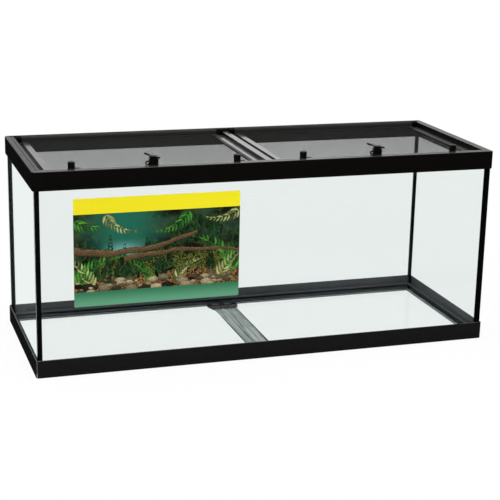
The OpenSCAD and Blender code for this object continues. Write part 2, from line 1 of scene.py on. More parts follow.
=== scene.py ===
# %% [markdown]
# # A reptile terrarium in Blender
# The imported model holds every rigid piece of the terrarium: two moulded frames, five panes,
# silicone seams and two hinged lids. This lesson dresses that model. It gives each piece a
# finish, makes the fine screens and the printed label, and lights it all like a catalogue
# photograph. Every length is in metres, and the origin is the middle of the footprint.

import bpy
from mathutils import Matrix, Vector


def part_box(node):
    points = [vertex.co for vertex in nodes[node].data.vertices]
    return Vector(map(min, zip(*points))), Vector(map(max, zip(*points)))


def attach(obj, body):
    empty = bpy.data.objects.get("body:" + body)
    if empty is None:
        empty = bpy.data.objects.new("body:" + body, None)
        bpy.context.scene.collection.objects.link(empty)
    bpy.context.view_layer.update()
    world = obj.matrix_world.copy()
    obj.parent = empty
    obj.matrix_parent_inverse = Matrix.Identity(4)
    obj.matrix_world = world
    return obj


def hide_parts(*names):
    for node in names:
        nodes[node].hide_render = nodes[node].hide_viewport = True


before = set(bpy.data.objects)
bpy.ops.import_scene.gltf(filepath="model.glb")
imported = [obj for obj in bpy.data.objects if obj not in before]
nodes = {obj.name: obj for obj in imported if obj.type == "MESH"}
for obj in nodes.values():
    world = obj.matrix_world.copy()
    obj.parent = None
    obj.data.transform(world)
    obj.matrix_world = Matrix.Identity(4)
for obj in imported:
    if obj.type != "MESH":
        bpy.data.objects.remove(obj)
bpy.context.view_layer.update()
print(len(nodes), "pieces of the packed model")

# %% [markdown]
# ## Modules and units
# `bpy` is Blender itself, and numpy works out whole arrays of points at once. Sizes of a real
# product are easier to read in millimetres, so a size is written as a number times `MM`.

import bpy
import numpy as np
from mathutils import Matrix

scene = bpy.context.scene
MM = 0.001
print("one millimetre is", MM, "m")

# %% [markdown]
# ## The camera
# The camera stands in front of the left half, well above the rim, and looks down a little.
# It was solved from the straight edges of the photograph: a place, three axes and a focal
# length in pixels of a 500 pixel wide picture. Blender wants a lens in millimetres on a 36 mm
# sensor, so the focal length is scaled by 36 / 500. Its axes are the columns of a matrix, and
# since a Blender camera looks along its own -Z, the viewing direction is turned round.

# %% Camera
camera_place = np.array([-1094.25, -3369.21, 1230.19]) * MM
camera_right = np.array([0.95151696, -0.3068508, 0.02140222])
camera_down = np.array([-0.06385073, -0.26510023, -0.96210444])
camera_forward = np.array([0.30089625, 0.91409215, -0.27184002])
focal_pixels, picture_pixels = 1339.40, 500.0
SENSOR = 36.0

camera_data = bpy.data.cameras.new("camera")
camera_data.sensor_width = SENSOR
camera_data.lens = focal_pixels * SENSOR / picture_pixels
camera_data.clip_start, camera_data.clip_end = 0.05, 60.0
camera = bpy.data.objects.new("camera", camera_data)
scene.collection.objects.link(camera)
axes = np.column_stack([camera_right, -camera_down, -camera_forward])
camera.matrix_world = Matrix.Translation(camera_place) @ Matrix(axes.tolist()).to_4x4()
scene.camera = camera
print("lens", round(camera_data.lens, 2), "mm")

# %% [markdown]
# ## Sockets that can be added and multiplied
# A finish is a small graph of nodes. Written node by node it is long and hard to read, so a
# small class wraps an output socket and gives it Python's operators: `1 - mask * 0.3` adds the
# Math nodes by itself. Colours don't go through Math nodes, which would turn them grey, but
# through `blend`, a Mix node. Every other node comes from one method, `add`.

# %% The socket class
class Socket:
    """An output socket. Arithmetic on it adds a Math node and returns that node's output."""

    def __init__(self, tree, output):
        self.tree, self.output = tree, output

    def maths(self, operation, *values):
        return self.tree.add("ShaderNodeMath", {"operation": operation}, *values)

    def __add__(self, other):
        return self.maths("ADD", self, other)

    def __sub__(self, other):
        return self.maths("SUBTRACT", self, other)

    def __rsub__(self, other):
        return self.maths("SUBTRACT", other, self)

    def __mul__(self, other):
        return self.maths("MULTIPLY", self, other)

    def __truediv__(self, other):
        return self.maths("DIVIDE", self, other)

    def __gt__(self, other):
        return self.maths("GREATER_THAN", self, other)

    def __lt__(self, other):
        return self.maths("LESS_THAN", self, other)

    def __abs__(self):
        return self.maths("ABSOLUTE", self)

    def most(self, other):
        return self.maths("MAXIMUM", self, other)

    def ramp(self, low, high, out_low=0.0, out_high=1.0):
        """Rises smoothly from out_low at low to out_high at high."""
        settings = {"interpolation_type": "SMOOTHSTEP", "clamp": True}
        return self.tree.add("ShaderNodeMapRange", settings, self, low, high, out_low, out_high)

    __radd__, __rmul__ = __add__, __mul__


class Tree:
    """A node tree that is being filled."""

    def __init__(self, tree):
        self.nodes, self.links = tree.nodes, tree.links
        self.nodes.clear()

    def add(self, kind, settings, *values, out=0, **named):
        """A node with its settings, then values or links on its sockets, in order or by name."""
        node = self.nodes.new(kind)
        for name, value in settings.items():
            setattr(node, name, value)
        wanted = list(enumerate(values)) + [(n.replace("_", " "), v) for n, v in named.items()]
        for name, value in wanted:
            if isinstance(value, Socket):
                self.links.new(value.output, node.inputs[name])
            elif value is not None:
                node.inputs[name].default_value = value
        return Socket(self, node.outputs[out]) if node.outputs else None

    def place(self):
        """Where a point of the surface is, in metres, on the object itself."""
        return self.add("ShaderNodeTexCoord", {}, out="Object")

    def parts(self, vector):
        """The x, y and z of a vector."""
        first = self.add("ShaderNodeSeparateXYZ", {}, vector)
        return [Socket(self, output) for output in first.output.node.outputs]

    def scaled(self, vector, scale):
        return self.add("ShaderNodeMapping", {}, vector, Scale=scale)

    def noise(self, vector, scale, detail=3.0, roughness=0.55):
        return self.add("ShaderNodeTexNoise", {}, vector, None, scale, detail, roughness)

    def blend(self, factor, first, second):
        """A colour between two colours."""
        node = self.nodes.new("ShaderNodeMix")
        node.data_type = "RGBA"
        sides = [s for s in node.inputs if s.type == "RGBA"]
        for socket, value in ((node.inputs[0], factor), (sides[0], first), (sides[1], second)):
            if isinstance(value, Socket):
                self.links.new(value.output, socket)
            else:
                socket.default_value = (*value, 1.0) if isinstance(value, tuple) else value
        return Socket(self, [s for s in node.outputs if s.type == "RGBA"][0])

    def bump(self, height, strength, distance):
        return self.add("ShaderNodeBump", {}, Strength=strength, Distance=distance, Height=height)


# %% The surface of a finish
def finish(name):
    """A new material and its empty tree."""
    material = bpy.data.materials.new(name)
    material.use_nodes = True
    return material, Tree(material.node_tree)


def surface(tree, **sockets):
    """A Principled shader. A colour of three numbers gets its fourth."""
    ready = {
        name: (*value, 1.0) if isinstance(value, tuple) and len(value) == 3 else value
        for name, value in sockets.items()
    }
    return tree.add("ShaderNodeBsdfPrincipled", {}, **ready)


def show(tree, shader, output="ShaderNodeOutputMaterial"):
    tree.add(output, {}, shader)


# %% [markdown]
# ## Black moulded plastic
# Both frames, the lids, knobs and latches are black high-impact plastic. Such a moulding is
# black nearly all over, but its flat tops mirror the bright studio at a low angle, so what
# makes it look real is its gloss. One Principled shader could carry that with its own roughness,
# but then the gloss could not fade from place to place. So the body of the plastic is a dull
# black, and its polished skin is a coat, whose weight may vary: it is thinner in slow waves. A
# fine grain does the rest, with a pale grey on upward faces that is partly settled dust and partly
# a painted sheen that brightens the tops. `worn` may take some of the skin away: on the
# rim's outer faces, which hands and boxes rub, part of it is gone.

# %% Black plastic
def black_plastic(name, base, dust_and_sheen, skin=1.0, skin_roughness=0.17, worn=None):
    """Black plastic under a glossy skin.

    worn takes the tree, the place and the colour. It gives how much of the skin is left and the
    worn colour.
    """
    material, tree = finish(name)
    place = tree.place()
    grain = tree.noise(place, 900.0, 2.0)
    waves = tree.noise(place, 14.0, 4.0)
    specks = tree.noise(place, 260.0, 3.0, 0.7).ramp(0.60, 0.74)
    up = tree.parts(tree.add("ShaderNodeNewGeometry", {}, out="Normal"))[2].ramp(0.5, 1.0)
    # Upward faces turn pale grey: partly settled dust, partly a painted sheen on the tops.
    dust_and_sheen_mask = up * (waves.ramp(0.35, 0.7, 0.3, 1.0) + specks * 0.8) * dust_and_sheen
    polish = waves.ramp(0.3, 0.7, skin, skin * 0.86)
    if worn is not None:
        kept, base = worn(tree, place, base)
        polish, dust_and_sheen_mask = polish * kept, dust_and_sheen_mask * kept
    show(tree, surface(
        tree,
        Base_Color=tree.blend(dust_and_sheen_mask, base, DUST_AND_SHEEN),
        Roughness=waves.ramp(0.3, 0.7, 0.5, 0.62),
        IOR=PLASTIC_INDEX,
        Specular_IOR_Level=0.08,
        Coat_Weight=polish,
        Coat_Roughness=skin_roughness,
        Coat_IOR=PLASTIC_INDEX,
        Normal=tree.bump(grain, 0.06, GRAIN_HEIGHT),
    ))
    return material


PLASTIC_INDEX = 1.49
GRAIN_HEIGHT = 0.2 * MM
# This pale grey on upward faces is partly settled dust and partly painted sheen.
DUST_AND_SHEEN = (0.21, 0.20, 0.19)
WARM_BLACK, LEFT_BLACK = (0.0032, 0.0027, 0.0022), (0.0026, 0.0024, 0.0020)
SHADED_BACK_BLACK, KNOB_BLACK = (0.0022, 0.0020, 0.0018), (0.0024, 0.0024, 0.0026)

# %% The rim, bar and knobs
FACE_DEPTH = 0.2 * MM
rim_front, rim_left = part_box("top_front_rail")[0][1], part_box("top_left_rail")[0][0]


def rim_wear(tree, place, base):
    """The rim's front face keeps about half of its skin, and its left face a fifth."""
    x, y = tree.parts(place)[:2]
    front, end = y < rim_front + FACE_DEPTH, x < rim_left + FACE_DEPTH
    return 1 - (front * 0.45).most(end * 0.8), base


frame_black = black_plastic("frame_black", WARM_BLACK, dust_and_sheen=0.12, skin=0.66, worn=rim_wear)
left_black = black_plastic("left_black", LEFT_BLACK, dust_and_sheen=0.08, skin=0.40, worn=rim_wear)
bar_black = black_plastic("bar_black", WARM_BLACK, dust_and_sheen=0.30)
# The back rail is a shaded copy of the rim's plastic: painted shade gives it a darker black, with no skin and
# no dust or sheen.
shaded_back_black = black_plastic("shaded_back_black", SHADED_BACK_BLACK, dust_and_sheen=0.0, skin=0.0, skin_roughness=0.30)
knob_black = black_plastic("knob_black", KNOB_BLACK, dust_and_sheen=0.02, skin=0.5, skin_roughness=0.22)
print("black plastics made")

# %% [markdown]
# ## The bottom frame's plastic
# The same plastic looks slate grey inside the tank, where the ledge and the skirt's inner wall
# lie dull behind glass and silicone and catch light from all sides, so there its colour is painted
# light in slate grey. What lies under the base pane gets less light, and its painted light is
# paler still to make up for that. The skirt's outer wall keeps its skin, and its left end a part
# of it. All are one moulding, so the change is told by where a point lies.

# %% Bottom frame plastic
FOOT_BLACK = (0.0098, 0.0097, 0.0096)
# These slate greys are painted light inside the tank; the plastic itself is black.
PAINTED_LIGHT_SLATE, PAINTED_LIGHT_UNDER_PANE = (0.080, 0.080, 0.086), (0.19, 0.19, 0.205)
OUTER_WALL, LEDGE_MARGIN = 1.2 * MM, 0.1 * MM
foot_half_x, foot_half_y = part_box("bottom_frame")[1][:2]
base_pane_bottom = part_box("base_glass")[0][2]


def foot_wear_and_painted_light(tree, place, base):
    """Inside its outer wall the frame is painted light in slate grey, paler still below the base pane, and
    has lost most of its skin.
    """
    x, y, z = tree.parts(place)
    inside = (abs(x) < foot_half_x - OUTER_WALL) * (abs(y) < foot_half_y - OUTER_WALL)
    low = z < base_pane_bottom + LEDGE_MARGIN
    end = x < FACE_DEPTH - foot_half_x
    # Painted light: the inside is painted slate grey, and paler still under the base pane.
    painted_slate = tree.blend(low, PAINTED_LIGHT_SLATE, PAINTED_LIGHT_UNDER_PANE)
    return 1 - (inside * 0.85).most(end * 0.7), tree.blend(inside, base, painted_slate)


foot_black = black_plastic("foot_black", FOOT_BLACK, dust_and_sheen=0.04, skin_roughness=0.24, worn=foot_wear_and_painted_light)
print("bottom frame plastic made")

# %% [markdown]
# ## The lids' plastic
# A lid is the same plastic, with textured steps beside its polished rails. On the outer side of
# a left rail and the inner side of a right rail the step is dull, and the rear member, which
# fingers and the hinges rub, has gone dull and a little grey. All of this is told by where a
# point lies from the middle of its lid, so it stays put when the lid swings.

# %% Lid plastic
LID_BLACK, GREYED = (0.0040, 0.0037, 0.0034), (0.026, 0.026, 0.024)
LID_REAR, LID_FRONT_MEMBER, REAR_FADE = 184.0 * MM, -186.0 * MM, 4.0 * MM
LEFT_STEP, RIGHT_RAIL, RIGHT_STEP, STEP_FADE = -274.5 * MM, 257.5 * MM, 267.0 * MM, 1.0 * MM


def lid_plastic(side, right_gloss):
    """Plastic of one lid. right_gloss is how much skin the right rail's outer step keeps."""
    low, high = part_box(f"{side}_lid_frame")
    middle = (low[0] + high[0]) / 2

    def worn(tree, place, base):
        x, y = tree.parts(place)[:2]
        across = x - middle
        outer = across.ramp(RIGHT_STEP - STEP_FADE, RIGHT_STEP + STEP_FADE, 0.14, right_gloss)
        right = across > RIGHT_RAIL
        inner = across.ramp(LEFT_STEP - STEP_FADE, LEFT_STEP + STEP_FADE)
        sides = inner * (1 - right) + outer * right
        rear = y.ramp(LID_REAR - REAR_FADE, LID_REAR)
        kept = (y < LID_FRONT_MEMBER).most(sides) * (1 - rear * 0.95)
        return kept, tree.blend(rear, base, GREYED)

    return black_plastic(f"{side}_lid_black", LID_BLACK, dust_and_sheen=0.26, worn=worn)


lid_black = {"left": lid_plastic("left", 1.0), "right": lid_plastic("right", 0.55)}
print("lid plastics made")

# %% [markdown]
# ## Clear glass
# A pane is a solid block, so light bends in and out of it as in the real one. The cut edges of
# soda-lime glass look deep green because light travels a long way inside them, so the tint grows
# within two millimetres of a pane's border. A lamp's shadow rays can't bend through glass, and
# a pane would throw a black shadow, so for them the pane is a tinted transparent sheet instead:
# Light Path's Is Shadow Ray chooses between the two. The photograph's panes have hardly any
# reflections, as if shot through a polarising filter, so each index of refraction is set far
# below the 1.52 of glass. It is lowest on the left pane, which the camera sees nearly edge on,
# and that pane's tint is paler to match. A thin flat pane shifts what lies behind it as little
# either way.

# %% Glass
def glass(node, index, clearness=1.0):
    """Glass of one pane. Its tint is multiplied by clearness, and its border is deep green."""
    tint = tuple(part * clearness for part in GLASS_TINT)
    smeared = tuple(part * clearness for part in SMEARED_TINT)
    low, high = (np.array(corner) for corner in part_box(node))
    size = high - low
    thin = int(np.argmin(size))
    material, tree = finish(f"{node}_clear")
    place = tree.place()
    edge = None
    for axis, at in enumerate(tree.parts(place)[:3]):
        if axis != thin:
            middle, half = (low + high)[axis] / 2, size[axis] / 2
            near = abs(at - float(middle)).ramp(half - EDGE_FROM, half - EDGE_FULL)
            edge = near if edge is None else edge.most(near)
    smear = tree.noise(tree.scaled(place, (3.0, 3.0, 1.0)), 2.5, 5.0).ramp(0.45, 0.8)
    colour = tree.blend(smear * 0.5, tint, smeared)
    colour = tree.blend(edge, colour, EDGE_GREEN)
    solid = surface(tree, Base_Color=colour, Roughness=0.0, IOR=index, Transmission_Weight=1.0)
    shadow = tree.add("ShaderNodeBsdfTransparent", {}, SHADOW_TINT)
    ray = tree.add("ShaderNodeLightPath", {}, out="Is Shadow Ray")
    show(tree, tree.add("ShaderNodeMixShader", {}, ray, solid, shadow))
    return material


GLASS_TINT, SMEARED_TINT = (0.899, 0.925, 0.916), (0.895, 0.921, 0.912)
EDGE_GREEN, SHADOW_TINT = (0.30, 0.62, 0.50), (0.93, 0.96, 0.95, 1.0)
EDGE_FROM, EDGE_FULL = 2.0 * MM, 0.3 * MM
PANES = {
    "base_glass": {"index": 1.05},
    "front_glass": {"index": 1.12},
    "back_glass": {"index": 1.12},
    "left_glass": {"index": 1.005, "clearness": 1.055},
    "right_glass": {"index": 1.05},
}
pane_finish = {node: glass(node, **facts) for node, facts in PANES.items()}
print(len(pane_finish), "panes")

# %% [markdown]
# ## Silicone
# The seams are black silicone, drawn down by a finger: it has long shallow marks along the seam
# and a satin skin. The level seam round the base pane catches the light from above and looks
# slate grey, so its colour is painted light in slate grey.

# %% Silicone
def silicone(name, along, dark, light, gloss):
    """Silicone drawn along a seam. along scales the marks: low along the seam and high across it."""
    material, tree = finish(name)
    place = tree.place()
    drawn = tree.noise(tree.scaled(place, along), 1.0, 3.0)
    skin = tree.noise(place, 500.0, 2.0)
    show(tree, surface(
        tree,
        Base_Color=tree.blend(drawn, dark, light),
        Roughness=drawn.ramp(0.3, 0.7, 0.42, 0.58),
        IOR=1.41,
        Specular_IOR_Level=gloss,
        Normal=tree.bump(drawn * 0.8 + skin * 0.2, 0.3, 0.6 * MM),
    ))
    return material


UPRIGHT_DARK, UPRIGHT_LIGHT = (0.0035, 0.0035, 0.0038), (0.008, 0.008, 0.0085)
# The level seam's slate greys are painted light from above; the silicone itself is black.
LEVEL_DARK, LEVEL_LIGHT = (0.040, 0.041, 0.047), (0.058, 0.060, 0.067)
upright = silicone("upright_silicone", (60.0, 60.0, 9.0), UPRIGHT_DARK, UPRIGHT_LIGHT, 0.5)
level = silicone("level_silicone", (30.0, 30.0, 60.0), LEVEL_DARK, LEVEL_LIGHT, 0.15)
print("silicones made")

# %% [markdown]
# ## The brace and the screws
# The brace under the base pane is a strip of grey plastic, streaky along its length as an
# extruded strip is. Its rear end is black where it roots in the frame, with a tan line of old
# glue across it. The screws are zinc-plated steel, finely brushed.

# %% Grey brace
STRIP_DARK, STRIP_LIGHT = (0.080, 0.092, 0.093), (0.395, 0.415, 0.412)
ROOT_BLACK, GLUE_TAN = (0.010, 0.008, 0.007), (0.36, 0.25, 0.14)
ROOT_LENGTH, GLUE_FULL, GLUE_GONE = 51.0 * MM, 0.6 * MM, 2.6 * MM
brace_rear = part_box("bottom_brace")[1][1]
root_start, glue_line = brace_rear - ROOT_LENGTH, brace_rear - ROOT_LENGTH / 2

brace_grey, tree = finish("brace_grey")
place = tree.place()
streaks = tree.noise(tree.scaled(place, (170.0, 3.0, 40.0)), 1.0, 4.0)
cloud = tree.noise(place, 22.0, 3.0)
along = tree.parts(place)[1]
strip = tree.blend((streaks * 0.8 + cloud * 0.3).ramp(0.43, 0.63), STRIP_DARK, STRIP_LIGHT)
root = along.ramp(root_start - 3.0 * MM, root_start + 1.0 * MM)
glue = (1 - abs(along - glue_line).ramp(GLUE_FULL, GLUE_GONE)) * cloud.ramp(0.38, 0.5)
show(tree, surface(
    tree,
    Base_Color=tree.blend(glue * 0.8, tree.blend(root, strip, ROOT_BLACK), GLUE_TAN),
    Roughness=cloud.ramp(0.3, 0.7, 0.42, 0.6),
    IOR=PLASTIC_INDEX,
    Normal=tree.bump(streaks, 0.25, 0.4 * MM),
))

# %% Screw steel
ZINC_DULL, ZINC_BRIGHT = (0.52, 0.53, 0.56), (0.68, 0.68, 0.70)
steel, tree = finish("screw_steel")
place = tree.place()
brushed = tree.noise(tree.scaled(place, (900.0, 900.0, 4000.0)), 1.0, 2.0)
dull = tree.noise(place, 700.0, 3.0)
show(tree, surface(
    tree,
    Base_Color=tree.blend(dull, ZINC_DULL, ZINC_BRIGHT),
    Metallic=1.0,
    Roughness=brushed.ramp(0.3, 0.7, 0.24, 0.42),
    Normal=tree.bump(brushed, 0.2, 0.1 * MM),
))
print("brace and steel made")

# %% [markdown]
# ## The label
# A printed card is stuck to the front pane. Its ground is one procedural finish on the CAD
# piece: a yellow band on top, a deep green field, and a plain mid green band below that pales
# downwards. The bands' borders are measured up from the label's lower edge, as parts of its
# height. The field is built up in washes, from back to front: dark woods, dabs of leaves, a clear
# green opening with a pale haze in it, a mossy bank and the soil. The motifs in the field are a
# design of this lesson's own: ferns, two boughs and pebbles, made as meshes further on.

# %% Inks and borders
label_low, label_high = (np.array(corner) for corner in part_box("front_label"))
label_size = label_high - label_low
YELLOW_FROM, GREEN_TO = 0.855, 0.135
OPENING, HAZE_HEIGHT = 0.30, 0.50
WOODS_DARK, WOODS_LIGHT, LEAF_DABS = (0.0060, 0.0095, 0.0045), (0.026, 0.072, 0.036), (0.055, 0.085, 0.014)
CLEAR_GREEN, PALE_HAZE, INK_BLACK = (0.010, 0.165, 0.105), (0.20, 0.52, 0.50), (0.0, 0.0, 0.0)
BANK_DARK, BANK_LIGHT = (0.003, 0.005, 0.001), (0.150, 0.175, 0.030)
SOIL_DARK, SOIL_LIGHT = (0.010, 0.004, 0.0015), (0.400, 0.210, 0.066)
YELLOW_LEFT, YELLOW_RIGHT = (0.93, 0.81, 0.012), (0.97, 0.86, 0.012)
BAND_FOOT, BAND_TOP = (0.125, 0.375, 0.218), (0.030, 0.196, 0.090)

# %% Label ground
label_print, tree = finish("label_print")
place = tree.place()
x, y, z = tree.parts(place)
across = (x - float(label_low[0])) / float(label_size[0])
up = (z - float(label_low[2])) / float(label_size[2])
mist = tree.noise(tree.scaled(place, (9.0, 9.0, 14.0)), 1.0, 5.0)
dabs = tree.noise(place, 75.0, 5.0, 0.65)
crumbs = tree.noise(place, 240.0, 4.0, 0.7)
field = tree.blend(mist.ramp(0.40, 0.60), WOODS_DARK, WOODS_LIGHT)
field = tree.blend(dabs.ramp(0.50, 0.62) * 0.85, field, LEAF_DABS)
clearing = (1 - abs(across - OPENING).ramp(0.02, 0.30)) * up.ramp(0.40, 0.62)
field = tree.blend(clearing * 0.9, field, CLEAR_GREEN)
haze = (1 - abs(across - OPENING).ramp(0.0, 0.17)) * (1 - abs(up - HAZE_HEIGHT).ramp(0.0, 0.12))
field = tree.blend(haze * 0.8, field, PALE_HAZE)
wavy = dabs * 0.16 + mist * 0.30
bank = tree.blend(crumbs.ramp(0.42, 0.60), BANK_DARK, BANK_LIGHT)
field = tree.blend((up - wavy).ramp(0.20, 0.27, 1.0, 0.0), field, bank)
soil = tree.blend(crumbs.ramp(0.42, 0.60), SOIL_DARK, SOIL_LIGHT)
field = tree.blend((up - wavy * 0.6).ramp(0.10, 0.15, 1.0, 0.0), field, soil)
field = tree.blend(0.08, field, INK_BLACK)
yellow = tree.blend(across.ramp(0.0, 1.0), YELLOW_LEFT, YELLOW_RIGHT)
lower = tree.blend(up.ramp(0.0, GREEN_TO * 1.1), BAND_FOOT, BAND_TOP)
ground = tree.blend(up < GREEN_TO, field, lower)
ground = tree.blend(up > YELLOW_FROM, ground, yellow)
speckle = tree.noise(place, 1600.0, 1.0)
show(tree, surface(
    tree,
    Base_Color=tree.blend(speckle.ramp(0.4, 0.6) * 0.04, ground, INK_BLACK),
    Roughness=speckle.ramp(0.2, 0.8, 0.36, 0.46),
    IOR=1.4,
    Specular_IOR_Level=0.2,
    Coat_Weight=mist.ramp(0.0, 1.0, 0.05, 0.12),
    Coat_Roughness=0.08,
    Normal=tree.bump(mist, 0.05, 0.5 * MM),
))
print("label", (label_size / MM).round(1), "mm")

# %% [markdown]
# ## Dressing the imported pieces
# A CAD piece keeps its mesh and its place. It only gets a material in its slot. A piece with a
# finish of its own is looked up by its name, and a small part by a word in its name. The rest is
# plain rim plastic.

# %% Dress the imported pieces
OWN_FINISH = {
    **pane_finish,
    "base_seal": level,
    "bottom_brace": brace_grey,
    "bottom_frame": foot_black,
    "front_label": label_print,
    "top_left_rail": left_black,
    "top_centre_bar": bar_black,
    "top_back_rail": shaded_back_black,
    "left_lid_frame": lid_black["left"],
    "right_lid_frame": lid_black["right"],
}
KINDS = {
    "seal": upright, "screw": steel, "knob": knob_black, "latch": knob_black, "tongue": knob_black,
    "sockets": shaded_back_black,
}


def finish_of(node):
    """A piece's own finish, or that of the first kind that its name holds, or the rim's."""
    kinds = [material for word, material in KINDS.items() if word in node]
    return OWN_FINISH.get(node) or (kinds + [frame_black])[0]


for node, piece in nodes.items():
    piece.data.materials.clear()
    piece.data.materials.append(finish_of(node))
print("dressed", len(nodes), "pieces")


# %% [markdown]
# ## Meshes from arrays
# The new pieces are surfaces on a grid, worked out with numpy as whole arrays. `grid_faces`
# joins neighbouring points of a grid into quads, and `build` hands points and faces to Blender.
# A piece stays at the origin, with its place in its mesh, and rides on a body of the model.

# %% Mesh helpers
def grid_faces(rows, columns, count=1, closed=False):
    """Quads between the neighbours of count grids of rows x columns points, one after another.

    closed joins the last column to the first.
    """
    last = columns if closed else columns - 1
    r, c = np.meshgrid(np.arange(rows - 1), np.arange(last), indexing="ij")
    here, above = r * columns, (r + 1) * columns
    after = (c + 1) % columns
    quads = np.stack([here + c, here + after, above + after, above + c], -1).reshape(-1, 4)
    shift = (np.arange(count) * rows * columns)[:, None, None]
    return (quads[None] + shift).reshape(-1, 4)


def build(name, points, faces, material, body, colours=None):
    """A mesh object from arrays, riding on a body.

    faces is a list of index arrays, and colours has one colour per point.
    """
    mesh = bpy.data.meshes.new(name)
    mesh.from_pydata(points.tolist(), [], [f for array in faces for f in array.tolist()])
    if colours is not None:
        layer = mesh.color_attributes.new("tone", "FLOAT_COLOR", "POINT")
        opaque = np.c_[colours, np.ones(len(colours))].astype(np.float32)
        layer.data.foreach_set("color", opaque.ravel())
    mesh.materials.append(material)
    mesh.validate()
    piece = bpy.data.objects.new(name, mesh)
    scene.collection.objects.link(piece)
    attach(piece, body)
    print(name, len(mesh.polygons), "faces")
    return piece


# %% [markdown]
# ## The screens
# A lid's screen is fine wire cloth: straight black-coated wires every three millimetres both
# ways. It could be a plane with holes painted in by transparency, but real wires hide more and
# more of the light as the eye gets lower, which is just what the photograph shows. Each wire is
# a six-sided prism of few faces, so hundreds of them stay light. One layer lies on the other,
# pressed a little into it. The right lid's wires are a shade finer than the left's, because its
# screen lets more light through.

# %% Screen wire
WIRE_DARK, WIRE_LIGHT = (0.012, 0.012, 0.012), (0.024, 0.024, 0.022)
wire_coat, tree = finish("screen_wire")
place = tree.place()
coat = tree.noise(place, 60.0, 3.0)
show(tree, surface(
    tree,
    Base_Color=tree.blend(coat, WIRE_DARK, WIRE_LIGHT),
    Roughness=coat.ramp(0.3, 0.7, 0.45, 0.6),
    IOR=1.5,
    Specular_IOR_Level=0.2,
))


def wires(starts, ends, radius, sides=6):
    """Straight prisms from starts to ends.

    Each point of a ring is the wire's end plus the radius times cosine and sine along two
    directions across the wire.
    """
    along = ends - starts
    along = along / np.linalg.norm(along, axis=1, keepdims=True)
    up = np.broadcast_to([0.0, 0.0, 1.0], along.shape)
    side = np.cross(up, along)
    turn = 2 * np.pi * (np.arange(sides) + 0.5) / sides
    ring = radius * (np.cos(turn)[:, None] * side[:, None] + np.sin(turn)[:, None] * up[:, None])
    points = np.stack([starts[:, None] + ring, ends[:, None] + ring], axis=1)
    count = len(starts)
    walls = grid_faces(2, sides, count, closed=True)[:, ::-1]
    first = (np.arange(count) * 2 * sides)[:, None]
    caps = [first + np.arange(sides)[::-1], first + sides + np.arange(sides)]
    return points.reshape(-1, 3), [walls, *caps]


def screen(side):
    """Two layers of parallel wires across the box of the lid's CAD screen."""
    low, high = (np.array(corner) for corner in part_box(f"{side}_screen"))
    low[:2] += SCREEN_MARGIN
    high[:2] -= SCREEN_MARGIN
    radius = WIRE[side] / 2
    columns = int((high[0] - low[0]) / PITCH)
    rows = int((high[1] - low[1]) / PITCH)
    xs = np.linspace(low[0], high[0], columns + 1)
    ys = np.linspace(low[1], high[1], rows + 1)
    middle = (low[2] + high[2]) / 2
    lower = np.full(len(xs), middle - radius * PRESSED)
    upper = np.full(len(ys), middle + radius * PRESSED)
    starts, ends = (
        np.r_[np.c_[xs, np.full(len(xs), at[1]), lower], np.c_[np.full(len(ys), at[0]), ys, upper]]
        for at in (low, high)
    )
    points, faces = wires(starts, ends, radius)
    piece = build(f"{side}_screen_wires", points, faces, wire_coat, f"{side}_lid")
    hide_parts(f"{side}_screen")


PITCH, SCREEN_MARGIN = 3.0 * MM, 1.0 * MM
PRESSED = 0.9
WIRE = {"left": 0.41 * MM, "right": 0.38 * MM}
for side in WIRE:
    screen(side)

# %% [markdown]
# ## The label's motifs
# The field of the label shows a generic thicket. A leaf is a surface of two parameters: u runs
# along its midrib and v across it, and its half width is its greatest width times the sine of
# pi times u to a power, so it is blunt at the stem and pointed at the tip. A fern is leaves in
# pairs along a bent line, and they get shorter towards its end. Pebbles are domed ellipses. Each
# motif lies a fraction of a millimetre proud of the card, like a raised varnish, and carries its
# own tone in an attribute. The random draws are seeded, so every run prints the same thicket.

# %% Motif finish
VEIN_GREEN = (0.002, 0.012, 0.004)
motif, tree = finish("label_motif")
tone = tree.add("ShaderNodeAttribute", {"attribute_name": "tone"}, out="Color")
veins = tree.noise(tree.scaled(tree.place(), (420.0, 1.0, 420.0)), 1.0, 4.0)
show(tree, surface(
    tree,
    Base_Color=tree.blend(veins.ramp(0.40, 0.62) * 0.55, tone, VEIN_GREEN),
    Roughness=veins.ramp(0.3, 0.7, 0.34, 0.46),
    IOR=1.4,
    Specular_IOR_Level=0.2,
    Coat_Weight=0.08,
    Coat_Roughness=0.08,
))


# %% Leaf and fern
def leaves(roots, angles, lengths, widths, bend, across=5, along=9):
    """Leaves on the label's plane. u goes along the midrib, v across.

    The midrib's direction turns by bend times u, and each point is set off it by v times the
    half width, width * sin(pi * u ** 0.75).
    """
    u, v = np.meshgrid(np.linspace(0.0, 1.0, along), np.linspace(-1.0, 1.0, across), indexing="ij")
    u, v = u[None], v[None]
    angle = angles[:, None, None] + bend[:, None, None] * u
    mid_x = lengths[:, None, None] * u * np.cos(angle)
    mid_z = lengths[:, None, None] * u * np.sin(angle)
    half = widths[:, None, None] * np.sin(np.pi * u**0.75) * v
    x = roots[:, 0, None, None] + mid_x - half * np.sin(angle)
    z = roots[:, 1, None, None] + mid_z + half * np.cos(angle)
    return np.stack([x, z, 1.0 - np.abs(v) + 0.0 * x], -1).reshape(-1, 3), (along, across)


def fern(root, angle, bend, length, pairs, leaf, rng):
    """Roots, angles, lengths, widths and bends of the leaves of one fern.

    They grow in pairs along a line that turns by bend over its length.
    """
    t = np.repeat(np.linspace(0.12, 1.0, pairs), 2)
    side = np.tile([1.0, -1.0], pairs)
    heading = angle + bend * t
    roots = np.c_[root[0] + length * t * np.cos(heading), root[1] + length * t * np.sin(heading)]
    sizes = leaf * (1.05 - 0.75 * t) * rng.uniform(0.9, 1.1, len(t))
    return roots, heading + side * (1.05 - 0.35 * t), sizes, sizes * 0.17, side * -0.35


